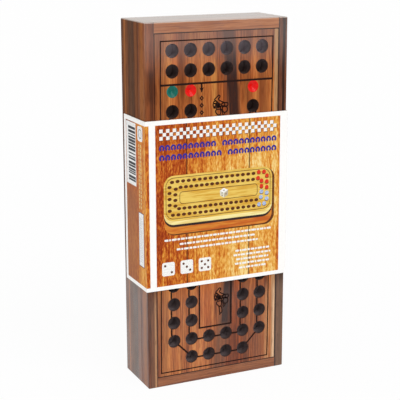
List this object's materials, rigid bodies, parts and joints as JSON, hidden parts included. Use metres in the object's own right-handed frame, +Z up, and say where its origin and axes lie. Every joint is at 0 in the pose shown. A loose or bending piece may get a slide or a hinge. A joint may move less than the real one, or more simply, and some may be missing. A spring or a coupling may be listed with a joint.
{
  "type": "wooden horse race peg game",
  "caption": "Slim lacquered wooden peg race game: drilled board lid on a tray of pegs and a die, standing on one end in a folded printed card wrap.",
  "frame": {"origin": "middle of the lower end that the box stands on, on the centre planes of its width and depth", "axes": "+Z up along the box's length, +X to the right seen from the front, +Y from the drilled front to the back"},
  "size_m": [0.1016, 0.0408, 0.24],
  "materials": {
    "board_wood": "lacquered dark striped hardwood with a straight upright grain",
    "frame_wood": "lacquered dark reddish-brown hardwood strips",
    "tray_wood": "lacquered dark reddish-brown hardwood",
    "back_wood": "thin plywood back, stained and lacquered",
    "green_enamel": "gloss green enamel brushed into a drilled dimple",
    "red_enamel": "gloss red enamel brushed into a drilled dimple",
    "red_peg_wood": "turned wood, glossy red stain",
    "blue_peg_wood": "turned wood, glossy blue stain",
    "die_wood": "pale wood with dark dished pips",
    "leaflet_paper": "uncoated white paper, folded once",
    "printed_card": null
  },
  "bodies": {
    "tray": {"tray_side_left": "tray_wood", "tray_side_right": "tray_wood", "tray_end_top": "tray_wood", "tray_end_bottom": "tray_wood", "tray_back_panel": "back_wood", "peg_red_1": "red_peg_wood", "peg_red_2": "red_peg_wood", "peg_red_3": "red_peg_wood", "peg_red_4": "red_peg_wood", "peg_red_5": "red_peg_wood", "peg_red_6": "red_peg_wood", "peg_blue_1": "blue_peg_wood", "peg_blue_2": "blue_peg_wood", "peg_blue_3": "blue_peg_wood", "peg_blue_4": "blue_peg_wood", "peg_blue_5": "blue_peg_wood", "peg_blue_6": "blue_peg_wood", "die": "die_wood", "rules_leaflet": "leaflet_paper"},
    "lid": {"board_panel": "board_wood", "lid_stile_left": "frame_wood", "lid_stile_right": "frame_wood", "lid_rail_top": "frame_wood", "lid_rail_bottom": "frame_wood", "start_mark_green": "green_enamel", "start_mark_red": "red_enamel", "finish_mark_red": "red_enamel"},
    "card": {"card_front": "printed_card"},
    "flap_left": {"card_flap_left": "printed_card"},
    "flap_right": {"card_flap_right": "printed_card"}
  },
  "joints": [
    {"name": "lid_lift", "type": "slide", "parent": "tray", "child": "lid", "axis": [0, -1, 0], "range_m": [0, 0.06]},
    {"name": "card_lift", "type": "slide", "parent": "lid", "child": "card", "axis": [0, -1, 0], "range_m": [0, 0.045]},
    {"name": "flap_left_fold", "type": "hinge", "parent": "card", "child": "flap_left", "pos_m": [-0.0508, -0.0203, 0.12325], "axis": [0, 0, 1], "range_deg": [0, 90]},
    {"name": "flap_right_fold", "type": "hinge", "parent": "card", "child": "flap_right", "pos_m": [0.0508, -0.0203, 0.12325], "axis": [0, 0, -1], "range_deg": [0, 90]}
  ]
}
